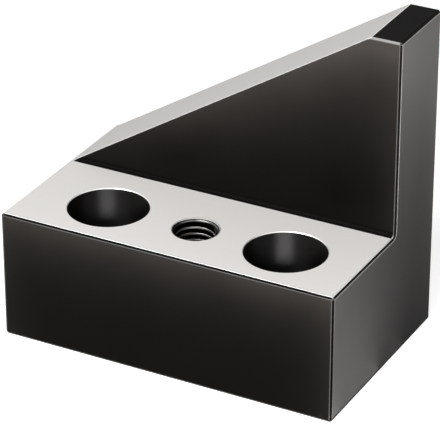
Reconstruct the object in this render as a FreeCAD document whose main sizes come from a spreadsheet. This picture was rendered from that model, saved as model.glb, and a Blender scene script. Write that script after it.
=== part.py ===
import FreeCAD, Part
import os

import Sketcher
from FreeCAD import Vector

# Half V-block: one machined steel block with a low flange in front, which carries two
# counterbored screw holes and a tapped hole, and an upright along the back whose top is
# the inclined support face. Two of them, mirrored, hold a round workpiece between them.
# The incline rises 45 over a run of 72, so it stands at 32 degrees to the resting face.
# Lengths are in millimetres. X runs along the block, the flange faces -Y, Z is up, and the
# origin is the centre of the resting face.

NODE = "v_block_half"

SIZES = [
    ("block_length", 80, "along X, end to end"),
    ("block_depth", 50, "along Y, front face to back face"),
    ("total_height", 75, "resting face to the level flat on top"),
    ("flange_height", 30, "resting face to the ground seat of the flange"),
    ("upright_thickness", 20, "along Y, at the back"),
    ("incline_start", 1, "left end to the foot of the incline"),
    ("top_flat", 7, "level flat between the incline and the right end"),
    ("foot_radius", 1, "inside corner between flange and upright"),
    ("edge_break", 0.5, "45 degree chamfer on the outer edges"),
    ("screw_row", 13.3, "front face to the row of holes"),
    ("first_screw", 19.3, "left end to the left screw"),
    ("screw_spacing", 43, "between the two screws"),
    ("screw_bore", 11, "diameter, clears an M10 cap screw"),
    ("head_bore", 18, "diameter, takes the head of the screw"),
    ("head_depth", 11, "a little more than the height of the head"),
    ("thread_mouth", 10.4, "diameter of the countersink over the thread"),
]
CLAMP_THREAD = "M10x1.5"
COUNTERSINK_ANGLE = 90

# What every sketch starts with: its origin point, and its level axis through that point
ORIGIN = (-1, 1)
LEVEL_AXIS = -1

# Two places closer than this are the same place
NEAR = 1e-6

doc = FreeCAD.newDocument("HalfVBlock")


def size_sheet():
    """The driving sizes, one row each: name, value with an alias, and what it measures."""
    sheet = doc.addObject("Spreadsheet::Sheet", "Sizes")
    for row, (name, value, note) in enumerate(SIZES, start=1):
        sheet.set(f"A{row}", name)
        sheet.set(f"B{row}", str(value))
        sheet.set(f"C{row}", note)
        sheet.setAlias(f"B{row}", name)
    doc.recompute()
    return sheet


sizes = size_sheet()
left_end = -sizes.block_length / 2
right_end = sizes.block_length / 2
front = -sizes.block_depth / 2
back = sizes.block_depth / 2
foot = back - sizes.upright_thickness
crest = right_end - sizes.top_flat


def sketch_on(body, name, role):
    """An empty sketch on the body's own base plane with this role."""
    sketch = body.newObject("Sketcher::SketchObject", name)
    plane = next(p for p in body.Origin.OriginFeatures if p.Role == role)
    sketch.AttachmentSupport = [(plane, "")]
    sketch.MapMode = "FlatFace"
    return sketch


def outline(sketch, corners):
    """A closed outline through the corners. Its level and upright lines are held so."""
    count = len(corners)
    for n, corner in enumerate(corners):
        following = corners[(n + 1) % count]
        sketch.addGeometry(Part.LineSegment(corner, following), False)
        if corner.y == following.y:
            sketch.addConstraint(Sketcher.Constraint("Horizontal", n))
        elif corner.x == following.x:
            sketch.addConstraint(Sketcher.Constraint("Vertical", n))
    for n in range(count):
        sketch.addConstraint(Sketcher.Constraint("Coincident", n, 2, (n + 1) % count, 1))


def dimension(sketch, name, kind, start, end, formula):
    """The distance from start to end along one axis, named and set from the sheet."""
    gap = sketch.getPoint(*end) - sketch.getPoint(*start)
    value = gap.x if kind == "DistanceX" else gap.y
    number = sketch.addConstraint(Sketcher.Constraint(kind, *start, *end, value))
    sketch.renameConstraint(number, name)
    sketch.setExpression(f"Constraints.{name}", formula)


def edges_where(feature, wanted):
    """Names of the feature's edges that the test accepts."""
    return [f"Edge{n}" for n, edge in enumerate(feature.Shape.Edges, start=1) if wanted(edge)]


def block_blank(body):
    """The L of flange and upright seen from the end, extruded along the block."""
    sketch = sketch_on(body, "EndOutline", "YZ_Plane")
    outline(sketch, [
        Vector(front, 0),
        Vector(back, 0),
        Vector(back, sizes.total_height),
        Vector(foot, sizes.total_height),
        Vector(foot, sizes.flange_height),
        Vector(front, sizes.flange_height),
    ])
    sketch.addConstraint(Sketcher.Constraint("PointOnObject", 0, 1, LEVEL_AXIS))
    dimension(sketch, "reach", "DistanceX", (0, 1), ORIGIN, "Sizes.block_depth / 2")
    dimension(sketch, "depth", "DistanceX", (0, 1), (0, 2), "Sizes.block_depth")
    dimension(sketch, "height", "DistanceY", (1, 1), (1, 2), "Sizes.total_height")
    dimension(sketch, "thickness", "DistanceX", (2, 2), (2, 1), "Sizes.upright_thickness")
    dimension(sketch, "seat", "DistanceY", (5, 2), (5, 1), "Sizes.flange_height")
    pad = body.newObject("PartDesign::Pad", "Blank")
    pad.Profile = sketch
    pad.Midplane = True
    pad.setExpression("Length", "Sizes.block_length")
    doc.recompute()
    return pad


def foot_fillet(body, blank):
    """The inside corner along the foot of the upright, left round by the milling cutter."""
    corner = Vector(0, foot, sizes.flange_height)
    fillet = body.newObject("PartDesign::Fillet", "FootFillet")
    fillet.Base = (blank, edges_where(blank, lambda e: e.CenterOfMass.isEqual(corner, NEAR)))
    fillet.setExpression("Radius", "Sizes.foot_radius")
    doc.recompute()
    return fillet


def incline(body):
    """The support face: what lies above its slope is milled off the upright."""
    sketch = sketch_on(body, "InclineOutline", "XZ_Plane")
    outline(sketch, [
        Vector(left_end, sizes.flange_height),
        Vector(left_end + sizes.incline_start, sizes.flange_height),
        Vector(crest, sizes.total_height),
        Vector(left_end, sizes.total_height),
    ])
    to_crest = "Sizes.block_length / 2 - Sizes.top_flat"
    dimension(sketch, "to_end", "DistanceX", (0, 1), ORIGIN, "Sizes.block_length / 2")
    dimension(sketch, "seat", "DistanceY", ORIGIN, (0, 1), "Sizes.flange_height")
    dimension(sketch, "start", "DistanceX", (0, 1), (0, 2), "Sizes.incline_start")
    dimension(sketch, "to_crest", "DistanceX", ORIGIN, (1, 2), to_crest)
    dimension(sketch, "top", "DistanceY", ORIGIN, (1, 2), "Sizes.total_height")
    pocket = body.newObject("PartDesign::Pocket", "Incline")
    pocket.Profile = sketch
    pocket.Type = "ThroughAll"
    pocket.Midplane = True
    doc.recompute()
    return pocket


def edge_breaks(body, milled):
    """Chamfers round both ends, the front, the resting face and the flat on top.
    The support face is ground after them, so its own edges stay sharp."""

    def wanted(edge):
        ends = [vertex.Point for vertex in edge.Vertexes]
        across = any(all(abs(p.x - x) < NEAR for p in ends) for x in (left_end, right_end))
        in_front = all(abs(p.y - front) < NEAR for p in ends)
        level = any(all(abs(p.z - z) < NEAR for p in ends) for z in (0, sizes.total_height))
        at_crest = all(abs(p.x - crest) < NEAR for p in ends)
        return (across or in_front or level) and not at_crest

    chamfer = body.newObject("PartDesign::Chamfer", "EdgeBreaks")
    chamfer.Base = (milled, edges_where(milled, wanted))
    chamfer.setExpression("Size", "Sizes.edge_break")
    doc.recompute()
    return chamfer


def seat_circles(body, name, diameter, places):
    """Circles on the seat in the screw row, each placed by its distance from the left end."""
    sketch = sketch_on(body, name, "XY_Plane")
    sketch.setExpression(".AttachmentOffset.Base.z", "Sizes.flange_height")
    for n, place in enumerate(places):
        centre = Vector(left_end + n * sizes.screw_spacing, front)
        sketch.addGeometry(Part.Circle(centre, Vector(0, 0, 1), sizes.screw_bore / 2), False)
        across = f"Sizes.block_length / 2 - ({place})"
        row = "Sizes.block_depth / 2 - Sizes.screw_row"
        dimension(sketch, f"across_{n}", "DistanceX", (n, 3), ORIGIN, across)
        dimension(sketch, f"row_{n}", "DistanceY", (n, 3), ORIGIN, row)
        number = sketch.addConstraint(Sketcher.Constraint("Diameter", n, sizes.screw_bore))
        sketch.renameConstraint(number, f"diameter_{n}")
        sketch.setExpression(f"Constraints.diameter_{n}", diameter)
    doc.recompute()
    return sketch


def screw_holes(body):
    """Two through holes, each counterbored so that the head of its cap screw lies sunk."""
    places = ["Sizes.first_screw", "Sizes.first_screw + Sizes.screw_spacing"]
    hole = body.newObject("PartDesign::Hole", "ScrewHoles")
    hole.Profile = seat_circles(body, "ScrewCentres", "Sizes.screw_bore", places)
    hole.DepthType = "ThroughAll"
    hole.HoleCutType = "Counterbore"
    hole.setExpression("Diameter", "Sizes.screw_bore")
    hole.setExpression("HoleCutDiameter", "Sizes.head_bore")
    hole.setExpression("HoleCutDepth", "Sizes.head_depth")
    doc.recompute()
    return hole


def clamp_thread(body):
    """A hole midway between the screws, tapped right through and countersunk at its mouth."""
    midway = "Sizes.first_screw + Sizes.screw_spacing / 2"
    hole = body.newObject("PartDesign::Hole", "ClampThread")
    hole.Profile = seat_circles(body, "ThreadCentre", "Sizes.thread_mouth", [midway])
    hole.DepthType = "ThroughAll"
    hole.ThreadType = "ISOMetricProfile"
    hole.ThreadSize = CLAMP_THREAD
    hole.Threaded = True
    hole.HoleCutType = "Countersink"
    hole.HoleCutCountersinkAngle = COUNTERSINK_ANGLE
    hole.setExpression("HoleCutDiameter", "Sizes.thread_mouth")
    doc.recompute()
    return hole


def half_block():
    """The whole block, machined in the order that the real one is."""
    body = doc.addObject("PartDesign::Body", NODE)
    body.Label = NODE
    blank = block_blank(body)
    rounded = foot_fillet(body, blank)
    milled = incline(body)
    broken = edge_breaks(body, milled)
    bored = screw_holes(body)
    tapped = clamp_thread(body)
    for before, after in ((rounded, milled), (milled, broken), (broken, bored), (bored, tapped)):
        if after.Shape.Volume >= before.Shape.Volume:
            raise RuntimeError(f"{after.Name} removed nothing")
    return body


def write(body):
    """Write the block once every step of the document is sound."""
    failed = [o.Name for o in doc.Objects if {"Invalid", "Error"} & set(o.State)]
    if failed:
        raise RuntimeError("failed: " + ", ".join(failed))
    if body.Shape.isNull() or not body.Shape.isValid() or len(body.Shape.Solids) != 1:
        raise RuntimeError(f"{body.Label} is not one sound solid")
    os.makedirs("parts", exist_ok=True)
    body.Shape.exportStep(f"parts/{body.Label}.step")


write(half_block())
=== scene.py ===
import math

import bmesh
import bpy
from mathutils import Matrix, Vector


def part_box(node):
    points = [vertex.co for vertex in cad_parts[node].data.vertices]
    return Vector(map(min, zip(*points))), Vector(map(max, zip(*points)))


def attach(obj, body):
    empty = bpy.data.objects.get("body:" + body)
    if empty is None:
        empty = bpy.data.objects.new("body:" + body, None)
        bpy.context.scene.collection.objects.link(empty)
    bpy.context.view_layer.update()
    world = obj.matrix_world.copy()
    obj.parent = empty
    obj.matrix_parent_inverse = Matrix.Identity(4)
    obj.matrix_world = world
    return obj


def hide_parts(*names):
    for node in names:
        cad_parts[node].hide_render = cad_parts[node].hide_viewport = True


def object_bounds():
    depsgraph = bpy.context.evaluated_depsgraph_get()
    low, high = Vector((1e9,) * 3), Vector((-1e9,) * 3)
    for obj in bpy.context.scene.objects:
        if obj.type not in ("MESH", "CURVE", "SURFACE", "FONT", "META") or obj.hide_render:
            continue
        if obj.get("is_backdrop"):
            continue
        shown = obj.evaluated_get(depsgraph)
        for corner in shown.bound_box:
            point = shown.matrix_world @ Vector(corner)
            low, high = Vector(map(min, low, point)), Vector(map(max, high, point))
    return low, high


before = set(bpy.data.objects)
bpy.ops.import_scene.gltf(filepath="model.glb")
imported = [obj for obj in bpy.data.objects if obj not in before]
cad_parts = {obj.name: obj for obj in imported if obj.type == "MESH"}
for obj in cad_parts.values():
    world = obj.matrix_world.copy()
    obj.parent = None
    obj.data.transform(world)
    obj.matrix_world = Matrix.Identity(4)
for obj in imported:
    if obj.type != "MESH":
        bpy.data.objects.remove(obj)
cad_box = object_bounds()

# The block is one bar of steel, milled to an L: a low flange in front and an upright along
# the back, with a small round in the corner between them where the end mill ran. It is
# blackened all over in a hot salt bath, which leaves a deep black skin with a soft sheen.
mm = 0.001
low_corner, high_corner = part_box("v_block_half")
left_end, front, underside = low_corner
right_end, back, top = high_corner
foot = 5 * mm
seat = 30 * mm
foot_radius = 1 * mm
foot_steps = 6

oxide_black = (0.0012, 0.0010, 0.0008, 1)
oxide_brown = (0.0021, 0.0018, 0.0014, 1)
oxide_patch = 14 * mm
oxide_grain = 0.3 * mm
mark_width = 0.35 * mm
mark_length = 120
mark_depth = 0.002 * mm
oxide_roughness = 0.38
oxide_gloss = 0.045


class Number:
    """A number in a node tree. A sum written with it adds its Math nodes."""

    def __init__(self, nodes, socket):
        self.nodes = nodes
        self.socket = socket

    def maths(self, operation, first, second=0.0):
        inputs = {"Value": first, "Value_001": second}
        node = self.nodes.add("ShaderNodeMath", {"operation": operation}, inputs)
        return Number(self.nodes, node.outputs["Value"])

    def __add__(self, other):
        return self.maths("ADD", self, other)

    def __sub__(self, other):
        return self.maths("SUBTRACT", self, other)

    def __rsub__(self, other):
        return self.maths("SUBTRACT", other, self)

    def __mul__(self, other):
        return self.maths("MULTIPLY", self, other)

    def __truediv__(self, other):
        return self.maths("DIVIDE", self, other)

    __radd__ = __add__
    __rmul__ = __mul__

    def __abs__(self):
        return self.maths("ABSOLUTE", self)

    def at_most(self, other):
        return self.maths("MINIMUM", self, other)

    def at_least(self, other):
        return self.maths("MAXIMUM", self, other)


class Nodes:
    """A node tree that is being built, of a material, the world or Geometry Nodes."""

    def __init__(self, tree):
        self.tree = tree

    def add(self, kind, settings=None, inputs=None):
        """A node with its settings made first, then each socket set or linked."""
        node = self.tree.nodes.new(kind)
        for name, value in (settings or {}).items():
            setattr(node, name, value)
        sockets = {socket.identifier: socket for socket in node.inputs}
        for name, value in (inputs or {}).items():
            source = value.socket if isinstance(value, Number) else value
            if isinstance(source, bpy.types.NodeSocket):
                self.tree.links.new(source, sockets[name])
            else:
                sockets[name].default_value = source
        return node

    def parts(self, vector):
        """The x, y and z of a vector."""
        apart = self.add("ShaderNodeSeparateXYZ", {}, {"Vector": vector}).outputs
        return [Number(self, apart[axis]) for axis in "XYZ"]


class Finish(Nodes):
    """A finish of the steel. What is even all over is set on the shader's own sockets."""

    def __init__(self, name, even):
        self.material = bpy.data.materials.new(name)
        self.material.use_nodes = True
        super().__init__(self.material.node_tree)
        self.shader = self.tree.nodes["Principled BSDF"]
        for socket, value in even.items():
            self.shader.inputs[socket].default_value = value
        seen_from = self.add("ShaderNodeTexCoord").outputs
        self.place = seen_from["Object"]
        self.facing = seen_from["Normal"]

    def noise(self, size, detail, stretch=(1, 1, 1)):
        """Noise from 0 to 1 whose grains have this size, drawn out along the axes."""
        scale = [1 / (size * length) for length in stretch]
        placed = self.add("ShaderNodeMapping", {}, {"Vector": self.place, "Scale": scale})
        inputs = {"Vector": placed.outputs["Vector"], "Scale": 1.0, "Detail": detail}
        return Number(self, self.add("ShaderNodeTexNoise", {}, inputs).outputs["Fac"])

    def between(self, share, first, second):
        """A colour that goes from the first to the second by the share."""
        inputs = {"Factor_Float": share, "A_Color": first, "B_Color": second}
        mix = self.add("ShaderNodeMix", {"data_type": "RGBA"}, inputs)
        return next(s for s in mix.outputs if s.identifier == "Result_Color")

    def feed(self, socket, value):
        source = value.socket if isinstance(value, Number) else value
        self.tree.links.new(source, self.shader.inputs[socket])

    def relief(self, height, depth):
        """Fine relief of this depth, which the light shows as a bump."""
        inputs = {"Height": height, "Distance": depth, "Strength": 1.0}
        self.feed("Normal", self.add("ShaderNodeBump", {}, inputs).outputs["Normal"])


def blackened(name, roughness, gloss, marks):
    """Black oxide on milled steel. Marks tells along which axes the tool marks run."""
    finish = Finish(name, {"Specular IOR Level": gloss, "Metallic": 0.0})
    patches = finish.noise(oxide_patch, 3.0)
    grain = finish.noise(oxide_grain, 2.0)
    lines = finish.noise(mark_width, 2.0, marks)
    finish.feed("Base Color", finish.between(patches, oxide_black, oxide_brown))
    finish.feed("Roughness", roughness + 0.10 * (patches - 0.5) + 0.06 * (grain - 0.5))
    finish.relief(0.1 * grain + 0.9 * lines, mark_depth)
    return finish


def piece(name, shape, materials):
    """An object that holds the bmesh shape, with its faces turned outwards."""
    bmesh.ops.recalc_face_normals(shape, faces=shape.faces)
    mesh = bpy.data.meshes.new(name)
    shape.to_mesh(mesh)
    shape.free()
    for material in materials:
        mesh.materials.append(material)
    made = bpy.data.objects.new(name, mesh)
    bpy.context.scene.collection.objects.link(made)
    return made


def prism(outline, low, high):
    """A closed bar between two ends, each of them the outline placed there."""
    shape = bmesh.new()
    first = [shape.verts.new(low(*corner)) for corner in outline]
    last = [shape.verts.new(high(*corner)) for corner in outline]
    for n in range(len(outline)):
        after = (n + 1) % len(outline)
        shape.faces.new((first[n], last[n], last[after], first[after]))
    shape.faces.new(first)
    shape.faces.new(last[::-1])
    return shape


marks_along = (mark_length, 1, 1)
faces_black = blackened("black_oxide_faces", oxide_roughness, oxide_gloss, marks_along)

end_outline = [(front, underside), (back, underside), (back, top), (foot, top)]
for step in range(foot_steps + 1):
    turn = -math.pi / 2 * step / foot_steps
    across = foot - foot_radius + foot_radius * math.cos(turn)
    upward = seat + foot_radius + foot_radius * math.sin(turn)
    end_outline.append((across, upward))
end_outline.append((front, seat))
blank = prism(end_outline, lambda y, z: (left_end, y, z), lambda y, z: (right_end, y, z))
block = piece("half_v_block", blank, [faces_black.material])


# The incline, the seat of the flange and the resting face are ground after blackening, so
# they are bare steel with fine lines along the block. The wedge stands for all that the
# grinding wheel takes off the upright.
incline_start = 1 * mm
top_flat = 7 * mm
clearance = 3 * mm
steel_light = (0.74, 0.73, 0.72, 1)
steel_shade = (0.69, 0.68, 0.67, 1)
line_width = 0.09 * mm
band_width = 1.8 * mm
line_length = 300
line_depth = 0.0015 * mm
steel_roughness = 0.72
steel_gloss = 0.15


def ground_steel(name):
    """Bare steel off the surface grinder, its fine lines along the block."""
    finish = Finish(name, {"Metallic": steel_gloss})
    lines = finish.noise(line_width, 3.0, (line_length, 1, line_length))
    bands = finish.noise(band_width, 2.0, (line_length, 1, line_length))
    finish.feed("Base Color", finish.between(0.6 * lines + 0.4 * bands, steel_light, steel_shade))
    finish.feed("Roughness", steel_roughness + 0.10 * (lines - 0.5))
    finish.relief(lines, line_depth)
    return finish.material


def cut(work, tool):
    """Takes the tool's shape out of the work. The cut faces keep the tool's finish."""
    boolean = work.modifiers.new("Cut", "BOOLEAN")
    boolean.operation = "DIFFERENCE"
    boolean.solver = "EXACT"
    boolean.material_mode = "TRANSFER"
    boolean.object = tool
    evaluated = work.evaluated_get(bpy.context.evaluated_depsgraph_get())
    result = bpy.data.meshes.new_from_object(evaluated)
    work.modifiers.remove(boolean)
    work.data = result
    bpy.data.objects.remove(tool)


ground = ground_steel("ground_steel")
start = left_end + incline_start
crest = right_end - top_flat
wedge_outline = [
    (left_end - clearance, seat),
    (start, seat),
    (crest, top),
    (crest, top + clearance),
    (left_end - clearance, top + clearance),
]
wedge = prism(
    wedge_outline,
    lambda x, z: (x, front - clearance, z),
    lambda x, z: (x, back + clearance, z),
)
cut(block, piece("wedge", wedge, [ground]))


# All outer edges are broken by a narrow chamfer, blackened with the rest. The incline keeps
# its sharp edges, because it is ground last. Grinding leaves a bright hairline along its
# edges and the seat's, and every other corner is a little rubbed and shows some bare metal.
edge_break = 0.5 * mm
hairline = 0.1 * mm
near = 0.01 * mm
edge_roughness = 0.6
edge_gloss = 0.04
bright_light = (0.95, 0.94, 0.93, 1)
bright_roughness = 0.35
bright_depth = 0.001 * mm
rub_patch = 6 * mm
rub_roughness = 0.45
rub_gloss = 0.3
corner_worn = 0.10
crest_worn = 0.36
# Painted light from above: the black faces are painted a lighter grey near their upper edges and
# the ends, fading with these distances.
painted_light_grey = (0.042, 0.038, 0.035, 1)
light_fades_below = 5 * mm
light_fades_beside = 4 * mm
light_deeper_per_rise = 0.09
light_on_flange = 0.7
light_at_crest = 1.1
light_at_sides = 0.2
light_at_back = 0.25


def bright_steel(name):
    """Bare steel that the wheel has turned over and polished along an edge."""
    finish = Finish(name, {"Metallic": 1.0})
    grain = finish.noise(oxide_grain, 2.0)
    finish.feed("Base Color", finish.between(grain, bright_light, steel_light))
    finish.feed("Roughness", bright_roughness + 0.1 * grain)
    finish.relief(grain, bright_depth)
    return finish.material


def rubbed(name, share):
    """Black oxide worn through along an edge. The share is how much of it is bare steel."""
    finish = Finish(name, {"Metallic": 0.0, "Specular IOR Level": rub_gloss})
    bare = finish.noise(rub_patch, 3.0)
    worn = share * (0.6 + 0.8 * bare)
    finish.feed("Base Color", finish.between(worn, oxide_brown, steel_shade))
    finish.feed("Roughness", rub_roughness + 0.2 * bare)
    finish.relief(bare, mark_depth)
    return finish.material


def paint_light_from_above(finish):
    """Painted light: makes the black faces a lighter grey towards the upper edges and the ends,
    where light from above falls on them, and more so in some places.
    """
    x, y, z = finish.parts(finish.place)
    toward_end, toward_front, _ = [abs(part) for part in finish.parts(finish.facing)]
    slope = (top - seat) / (crest - start)
    ridge = (seat + (x - start) * slope).at_most(top).at_least(seat)
    on_upright = y.maths("GREATER_THAN", y, (front + foot) / 2)
    risen = (ridge - seat) * on_upright
    upper_share = light_on_flange * (1 - on_upright) + light_at_crest * risen / (top - seat)
    below = (seat + risen - z) / (light_fades_below + light_deeper_per_rise * risen)
    beside = (right_end - abs(x)) / light_fades_beside
    behind = (back - abs(y)) / light_fades_beside
    fading = [away.maths("POWER", math.e, 0 - away) for away in (below, beside, behind)]
    light_in_front = upper_share * fading[0] + light_at_sides * fading[1]
    painted_light = toward_front * light_in_front + toward_end * light_at_back * fading[2]
    uneven = 0.7 + 0.6 * finish.noise(oxide_patch, 2.0)
    covered = finish.shader.inputs["Base Color"].links[0].from_socket
    finish.feed("Base Color", finish.between((painted_light * uneven).at_most(1.0), covered, painted_light_grey))


def slot_of(work, material):
    """The number of the material's slot on the work, which gets one if it has none."""
    if material.name not in work.data.materials:
        work.data.materials.append(material)
    return work.data.materials.find(material.name)


def round_over(shape, edges, width, steps):
    """Takes off these edges by the width and returns the faces that stand there now."""
    made = bmesh.ops.bevel(
        shape,
        geom=edges,
        offset=width,
        offset_type="OFFSET",
        segments=steps,
        profile=0.5,
        affect="EDGES",
        clamp_overlap=False,
        material=-1,
    )
    return made["faces"]


def at(value, target):
    return abs(value - target) < near


def outer(edge):
    """Whether the edge lies all along an end, the front, the resting face or the top."""
    ends = [corner.co for corner in edge.verts]
    if all(at(p.x, crest) for p in ends):
        return False
    across = any(all(at(p.x, x) for p in ends) for x in (left_end, right_end))
    in_front = all(at(p.y, front) for p in ends)
    level = any(all(at(p.z, z) for p in ends) for z in (underside, top))
    return across or in_front or level


edges_black = blackened("black_oxide_edges", edge_roughness, edge_gloss, (1, 1, 1)).material
edges_bright = bright_steel("bright_edges")
edges_rubbed = rubbed("rubbed_edges", corner_worn)
crest_rubbed = rubbed("rubbed_crest", crest_worn)
# Painted light: the black faces get lighter towards their upper edges and the ends.
paint_light_from_above(faces_black)
ground_slot = slot_of(block, ground)
bright_slot = slot_of(block, edges_bright)
black_slot = slot_of(block, edges_black)
rubbed_slot = slot_of(block, edges_rubbed)
crest_slot = slot_of(block, crest_rubbed)

milled = bmesh.new()
milled.from_mesh(block.data)
for face in milled.faces:
    middle = face.calc_center_median()
    if at(middle.z, seat) or at(middle.z, underside):
        face.material_index = ground_slot
    elif at(middle.z, top) or seat < middle.z < seat + foot_radius and middle.y < foot:
        face.material_index = black_slot
bmesh.ops.dissolve_limit(
    milled,
    angle_limit=math.radians(1),
    verts=milled.verts,
    edges=milled.edges,
    delimit={"MATERIAL"},
)
for face in round_over(milled, [e for e in milled.edges if outer(e)], edge_break, 1):
    at_crest = face.normal.y < 0 and face.calc_center_median().z > top - edge_break
    face.material_index = crest_slot if at_crest and at(face.normal.x, 0) else black_slot

incline_normal = Vector((seat - top, 0, crest - start)).normalized()
incline_foot = Vector((start, 0, seat))
corners = [e for e in milled.edges if e.calc_face_angle_signed() > math.radians(20)]
for face in round_over(milled, corners, hairline, 2):
    middle = face.calc_center_median()
    beside_incline = abs((middle - incline_foot).dot(incline_normal)) < 2 * hairline
    inside_ends = abs(middle.x) < right_end - hairline
    beside_seat = abs(middle.z - seat) < 2 * hairline and inside_ends
    if beside_incline and middle.x > start or beside_seat:
        face.material_index = bright_slot
    elif middle.z > top - hairline:
        face.material_index = black_slot
    else:
        face.material_index = rubbed_slot
milled.to_mesh(block.data)
milled.free()


# Two screw holes go right through the flange, each counterbored so that the head of its cap
# screw lies sunk. The walls are blackened. The fine rings that the boring tool left in the
# head bores draw the light out to a streak. Grinding leaves a bright hairline at each mouth.
screw_row = front + 13.3 * mm
first_screw = left_end + 19.3 * mm
screw_spacing = 43 * mm
screw_bore = 11 * mm
head_bore = 18 * mm
head_depth = 11 * mm
rim_break = 0.16 * mm
ring_feed = 0.2 * mm
ring_slope = math.tan(math.radians(26))
bore_roughness = 0.33
bore_gloss = 0.17
bore_sides = 160


def turned(name, axis, profile, finishes):
    """A tool of revolution. The profile goes up it, and each step has its own finish."""
    slots = list(dict.fromkeys(finishes))
    shape = bmesh.new()
    rings = []
    for radius, height in profile:
        ring = []
        for n in range(bore_sides):
            turn = 2 * math.pi * n / bore_sides
            x = axis[0] + radius * math.cos(turn)
            y = axis[1] + radius * math.sin(turn)
            ring.append(shape.verts.new((x, y, height)))
        rings.append(ring)
    for n, (lower, upper) in enumerate(zip(rings, rings[1:])):
        for first in range(bore_sides):
            after = (first + 1) % bore_sides
            corners = (lower[first], lower[after], upper[after], upper[first])
            shape.faces.new(corners).material_index = slots.index(finishes[n])
    shape.faces.new(rings[0])
    shape.faces.new(rings[-1])
    return piece(name, shape, slots)


marks_around = (mark_length, mark_length, 1)
bore_finish = blackened("black_oxide_bores", bore_roughness, bore_gloss, marks_around)
bore_black = bore_finish.material
screw_profile = [
    (screw_bore / 2 + rim_break + clearance, underside - clearance),
    (screw_bore / 2, underside + rim_break),
    (screw_bore / 2, seat - head_depth),
    (head_bore / 2, seat - head_depth),
]
ring_count = round((head_depth - rim_break) / ring_feed)
ring_step = (head_depth - rim_break) / ring_count
for number in range(ring_count):
    height = seat - head_depth + number * ring_step
    screw_profile.append((head_bore / 2 + ring_step / 2 * ring_slope, height + ring_step / 2))
    screw_profile.append((head_bore / 2, height + ring_step))
screw_profile.append((head_bore / 2 + rim_break + clearance, seat + clearance))
screw_finishes = [ground] + [bore_black] * (2 + 2 * ring_count) + [edges_bright]
for number in range(2):
    axis = (first_screw + number * screw_spacing, screw_row)
    cut(block, turned("step_drill", axis, screw_profile, screw_finishes))


# Midway between them a hole for the clamping bolt is tapped right through and countersunk,
# and its mouth has a bright ground edge. The tap is a helix that follows a rule, so Geometry
# Nodes make it: a sheet rolled into a tube whose rows climb by one pitch a turn.
thread_pitch = 1.5 * mm
thread_root = 10 * mm
thread_core = 8.5 * mm
thread_mouth = 10.4 * mm
flank_slope = math.tan(math.radians(30))
thread_start = 0.39
mouth_break = 0.15 * mm
mouth_land = 0.45 * mm
mouth_sunk = 0.2 * mm
rubbed_ring = 0.4 * mm
ring_worn = 0.4
crest_rub = 0.1
crest_steel = (0.48, 0.47, 0.46, 1)
crest_patch = 2 * mm
crest_roughness = 0.22
tap_mark = 0.04 * mm
tap_mark_length = 600
rows_a_turn = 16
spare_turns = 3
columns = 96
row_end = 0.0001
weld = 0.0005 * mm


def tapping_tree(material):
    """Geometry Nodes for the tap, with its sizes as named inputs."""
    tree = bpy.data.node_groups.new("tap", "GeometryNodeTree")
    tree.is_modifier = True
    tree.interface.new_socket("Geometry", in_out="OUTPUT", socket_type="NodeSocketGeometry")
    for name in ("Pitch", "Root Radius", "Core Radius", "Mouth Radius", "Mouth Height",
                 "Lowest", "Highest", "Start", "Axis X", "Axis Y"):
        tree.interface.new_socket(name, in_out="INPUT", socket_type="NodeSocketFloat")
    tree.interface.new_socket("Rows", in_out="INPUT", socket_type="NodeSocketInt")
    tree.interface.new_socket("Columns", in_out="INPUT", socket_type="NodeSocketInt")
    nodes = Nodes(tree)
    given = nodes.add("NodeGroupInput").outputs
    size = {name: Number(nodes, given[name]) for name in given.keys() if name}
    pitch = size["Pitch"]
    lowest = size["Lowest"]
    highest = size["Highest"]

    sheet = nodes.add("GeometryNodeMeshGrid", {}, {
        "Size X": 1.0,
        "Size Y": 1.0,
        "Vertices X": size["Columns"] + 1,
        "Vertices Y": size["Rows"] + 1,
    })
    along, upward, _ = nodes.parts(nodes.add("GeometryNodeInputPosition").outputs["Position"])
    round_share = along + 0.5
    wound = round_share + size["Start"]
    up_share = upward + 0.5

    reach = highest - lowest + spare_turns * pitch
    climb = lowest - 2 * pitch + up_share * reach + wound * pitch
    height = climb.at_least(lowest).at_most(highest)
    turns = height / pitch - wound
    off_root = abs(turns.maths("FRACT", turns) - 0.5) * pitch
    groove = size["Root Radius"] - (off_root - pitch / 16) / flank_slope
    groove = groove.at_most(size["Root Radius"]).at_least(size["Core Radius"])
    cone = size["Mouth Radius"] + height - size["Mouth Height"]
    radius = groove.at_least(cone)
    tip = up_share.maths("GREATER_THAN", up_share, row_end)
    tail = up_share.maths("LESS_THAN", up_share, 1 - row_end)
    radius = radius * tip * tail

    angle = round_share * (2 * math.pi)
    rolled = nodes.add("ShaderNodeCombineXYZ", {}, {
        "X": size["Axis X"] + radius * angle.maths("COSINE", angle),
        "Y": size["Axis Y"] + radius * angle.maths("SINE", angle),
        "Z": height,
    })
    moved = nodes.add("GeometryNodeSetPosition", {}, {
        "Geometry": sheet.outputs["Mesh"],
        "Position": rolled.outputs["Vector"],
    })
    welded = nodes.add("GeometryNodeMergeByDistance", {}, {
        "Geometry": moved.outputs["Geometry"],
        "Distance": weld,
    })
    realised = nodes.add("GeometryNodeRealizeInstances", {}, {
        "Geometry": welded.outputs["Geometry"],
    })
    painted = nodes.add("GeometryNodeSetMaterial", {}, {
        "Geometry": realised.outputs["Geometry"],
        "Material": material,
    })
    out = nodes.add("NodeGroupOutput")
    tree.links.new(painted.outputs["Geometry"], out.inputs["Geometry"])
    return tree


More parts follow.
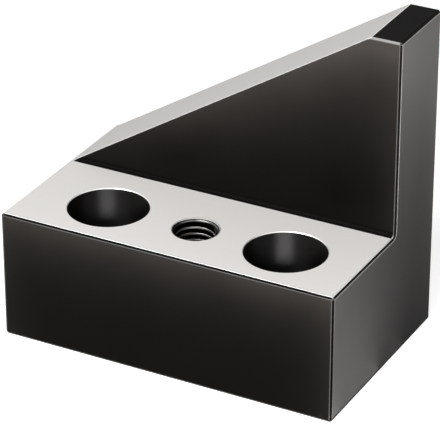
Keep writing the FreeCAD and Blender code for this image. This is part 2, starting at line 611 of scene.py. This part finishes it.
def tapped(name, core, root, axis):
    """The tapped hole: blackened grooves, and crests that the bolt has rubbed bright."""
    finish = Finish(name, {"Metallic": 1.0})
    centre = (-axis[0], -axis[1], 0)
    centred = finish.add("ShaderNodeMapping", {}, {"Vector": finish.place, "Location": centre})
    x, y, z = finish.parts(centred.outputs["Vector"])
    out = x.maths("SQRT", x * x + y * y)
    crest_share = finish.add("ShaderNodeMapRange", {}, {
        "Value": out,
        "From Min": core + crest_rub * (root - core),
        "From Max": core,
    }).outputs["Result"]
    off_ring = abs(z - (seat - rubbed_ring)) / (rubbed_ring / 2)
    ring_share = ring_worn * (1 - off_ring).at_least(0.0)
    uneven = 0.7 + 0.6 * finish.noise(crest_patch, 2.0)
    worn = Number(finish, crest_share).at_least(ring_share) * uneven
    finish.feed("Base Color", finish.between(worn.at_most(1.0), oxide_black, crest_steel))
    finish.feed("Roughness", crest_roughness + 0.1 * worn)
    marks = finish.noise(tap_mark, 2.0, (tap_mark_length, tap_mark_length, 1))
    finish.relief(marks, tap_mark)
    return finish.material


bolt_axis = (first_screw + screw_spacing / 2, screw_row)
thread_finish = tapped("tapped_thread", thread_core / 2, thread_root / 2, bolt_axis)
tap = piece("tap", bmesh.new(), [])
tapping = tap.modifiers.new("Tap", "NODES")
tapping.node_group = tapping_tree(thread_finish)
tap_sizes = {
    "Pitch": thread_pitch,
    "Root Radius": thread_root / 2,
    "Core Radius": thread_core / 2,
    "Mouth Radius": thread_mouth / 2,
    "Mouth Height": seat,
    "Lowest": underside - clearance,
    "Highest": seat + clearance,
    "Start": thread_start,
    "Axis X": bolt_axis[0],
    "Axis Y": bolt_axis[1],
    "Rows": rows_a_turn * round((seat - underside + 2 * clearance) / thread_pitch + spare_turns),
    "Columns": columns,
}
for socket in tapping.node_group.interface.items_tree:
    if socket.in_out == "INPUT":
        tapping[socket.identifier] = tap_sizes[socket.name]
tap_seen = tap.evaluated_get(bpy.context.evaluated_depsgraph_get())
tap.data = bpy.data.meshes.new_from_object(tap_seen)
tap.modifiers.remove(tapping)
tap_shape = bmesh.new()
tap_shape.from_mesh(tap.data)
bmesh.ops.recalc_face_normals(tap_shape, faces=tap_shape.faces)
tap_shape.to_mesh(tap.data)
tap_shape.free()
cut(block, tap)
mouth_reach = thread_mouth / 2 + mouth_break
mouth_profile = [
    (mouth_reach - mouth_land, seat - mouth_sunk),
    (mouth_reach, seat),
    (mouth_reach + clearance, seat + clearance),
]
cut(block, turned("mouth_tool", bolt_axis, mouth_profile, [edges_bright, edges_bright]))


# With the last cut made the block is whole: the slivers that the cuts left are welded, the
# flats stay flat and the rounds between them smooth, and it takes the place of its solid.
smooth_up_to = math.radians(35)

whole = bmesh.new()
whole.from_mesh(block.data)
bmesh.ops.remove_doubles(whole, verts=whole.verts, dist=weld)
bmesh.ops.dissolve_degenerate(whole, edges=whole.edges, dist=weld)
for face in whole.faces:
    face.smooth = True
whole.to_mesh(block.data)
whole.free()
block.data.set_sharp_from_angle(angle=smooth_up_to)
flats = block.modifiers.new("Flats", "WEIGHTED_NORMAL")
flats.keep_sharp = True
flats.weight = 100
finished = block.evaluated_get(bpy.context.evaluated_depsgraph_get())
block.data = bpy.data.meshes.new_from_object(finished)
block.modifiers.remove(flats)
block.data.name = "half_v_block"
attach(block, "root")
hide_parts("v_block_half")


# A plain white floor under it. To the camera it is lifted to the white of the space behind,
# in reflections a little, and the block still throws its soft shadow on it.
floor_half = 2000 * mm
floor_colour = (0.8, 0.8, 0.8, 1)
floor_lift = 0.75
mirrored_lift = 0.3

floor_shape = bmesh.new()
bmesh.ops.create_grid(floor_shape, x_segments=1, y_segments=1, size=floor_half)
floor_paint = bpy.data.materials.new("white_floor")
floor_paint.use_nodes = True
floor_nodes = Nodes(floor_paint.node_tree)
floor_shader = floor_paint.node_tree.nodes["Principled BSDF"]
floor_shader.inputs["Base Color"].default_value = floor_colour
floor_shader.inputs["Roughness"].default_value = 0.9
floor_shader.inputs["Specular IOR Level"].default_value = 0.0
floor_shader.inputs["Emission Strength"].default_value = 1.0
light_path = floor_nodes.add("ShaderNodeLightPath").outputs
mirrored = Number(floor_nodes, light_path["Is Glossy Ray"])
mirrored = mirrored + Number(floor_nodes, light_path["Is Transmission Ray"])
lift = floor_lift * Number(floor_nodes, light_path["Is Camera Ray"]) + mirrored_lift * mirrored
floor_paint.node_tree.links.new(lift.socket, floor_shader.inputs["Emission Color"])
floor = piece("floor", floor_shape, [floor_paint])
floor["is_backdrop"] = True

# The room is white where it is looked at or mirrored. All the light comes from the lamps.
world = bpy.data.worlds.new("white_room")
world.use_nodes = True
bpy.context.scene.world = world
room = Nodes(world.node_tree)
path = room.add("ShaderNodeLightPath").outputs
looked_at = Number(room, path["Is Camera Ray"])
looked_at = looked_at + Number(room, path["Is Glossy Ray"])
looked_at = looked_at + Number(room, path["Is Transmission Ray"])
background = world.node_tree.nodes["Background"]
world.node_tree.links.new(looked_at.socket, background.inputs["Strength"])
background.inputs["Color"].default_value = (1, 1, 1, 1)

# Two soft boxes light it from the front. Two disks that lie on the floor to the right and four
# strips beside the block, hidden from the camera, are what the blackened right end mirrors.
# A box has its shape, its place, the point it faces, its size, in millimetres, and its watts.
# A strip has its shift towards the back, its width, its length and its watts.
boxes = [
    ("front_box", "RECTANGLE", (205, -340, 165), (0, 0, 30), (280, 70), 1.85),
    ("high_box", "DISK", (-100, -300, 380), (0, 0, 30), (240, 240), 1.9),
    ("near_panel", "DISK", (130, 50, 1), (130, 50, 2), (60, 60), 0.6),
    ("far_panel", "DISK", (175, 140, 1), (175, 140, 2), (100, 100), 1.0),
]
strips = [
    ("first_strip", -25.5, 4.2, 64, 0.0030),
    ("second_strip", -16.5, 4.2, 73, 0.0024),
    ("third_strip", -7.0, 4.7, 76, 0.0025),
    ("fourth_strip", 4.0, 5.6, 80, 0.0007),
]
strip_turn = math.radians(28)
strip_end = (70, 56.5)
strip_lift = 1
lamp_colour = (1.0, 0.985, 0.97)


def hang(name, shape, size, watts, place, turns):
    """A lamp that the camera doesn't see."""
    lamp = bpy.data.lights.new(name, "AREA")
    lamp.color = lamp_colour
    lamp.shape = shape
    lamp.size = size[0] * mm
    lamp.size_y = size[1] * mm
    lamp.energy = watts
    holder = bpy.data.objects.new(name, lamp)
    holder.location = Vector(place) * mm
    holder.rotation_euler = turns
    holder.visible_camera = False
    bpy.context.scene.collection.objects.link(holder)


for name, shape, place, target, size, watts in boxes:
    towards = Vector(target) - Vector(place)
    hang(name, shape, size, watts, place, towards.to_track_quat("-Z", "Y").to_euler())
for name, from_y, width, length, watts in strips:
    x = strip_end[0] - length / 2 * math.sin(strip_turn)
    y = strip_end[1] - length / 2 * math.cos(strip_turn) + from_y
    place = (x, y, strip_lift)
    hang(name, "RECTANGLE", (width, length), watts, place, (math.pi, 0, -strip_turn))

# The camera stands at the front right, a little above, with a long lens.
view_turn = math.radians(28.0)
view_rise = math.radians(27.85)
view_distance = 600 * mm
aim = Vector((0.9 * mm, -0.9 * mm, 27.7 * mm))
lens = bpy.data.cameras.new("camera")
lens.sensor_fit = "HORIZONTAL"
lens.sensor_width = 36
lens.lens = 226.3
lens.clip_start = 10 * mm
camera = bpy.data.objects.new("camera", lens)
level = math.cos(view_rise)
away = Vector((math.sin(view_turn) * level, -math.cos(view_turn) * level, math.sin(view_rise)))
camera.location = aim + view_distance * away
camera.rotation_euler = (math.pi / 2 - view_rise, 0, view_turn)
bpy.context.scene.collection.objects.link(camera)
bpy.context.scene.camera = camera
bpy.context.scene.view_settings.view_transform = "Standard"

corners = {"cad": cad_box, "scene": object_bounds()}
